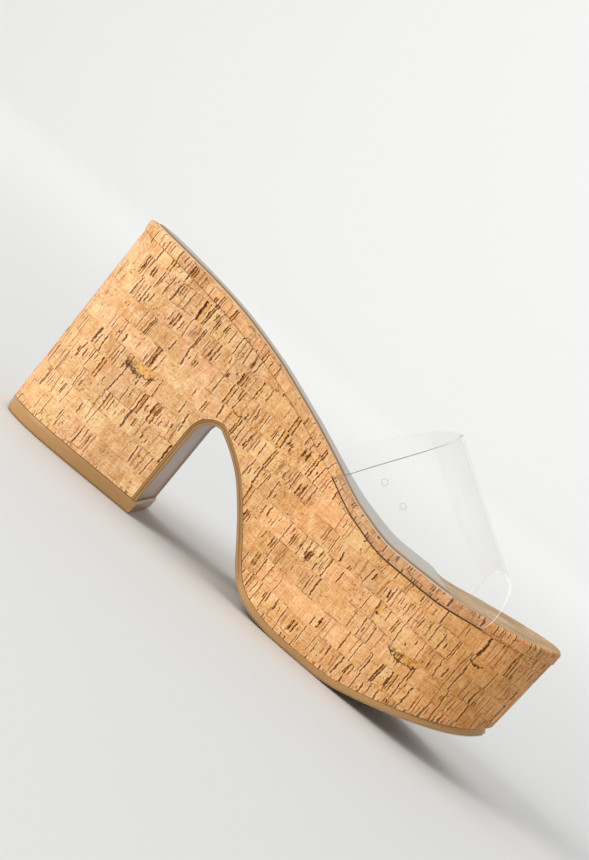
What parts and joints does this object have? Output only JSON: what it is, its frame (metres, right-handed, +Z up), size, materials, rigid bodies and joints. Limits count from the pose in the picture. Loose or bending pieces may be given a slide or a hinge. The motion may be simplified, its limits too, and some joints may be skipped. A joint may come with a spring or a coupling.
{
  "type": "platform sandal",
  "caption": "Open platform mule with a cork-covered block heel and thick forefoot, a wrapped footbed and one wide clear strap over the instep.",
  "frame": {"origin": "middle of the sandal's footprint box, on the floor it stands on", "axes": "+X along the foot towards the toe, +Y to the outer (lateral) side, +Z up"},
  "size_m": [0.2414, 0.0902, 0.1101],
  "materials": {
    "rubber": "tan moulded rubber, satin, with a fine saw-tooth tread edge",
    "cork": "natural cork veneer in lengthwise strips, dark cracks and pores, dull sheen",
    "lining": "smooth brown lining with a satin sheen",
    "clear_vinyl": "clear flexible vinyl, polished"
  },
  "bodies": {
    "root": {"heel_lift": "rubber", "outsole": "rubber", "platform": "cork", "insole_board": "cork", "sock": "lining", "strap": "clear_vinyl"}
  },
  "joints": []
}
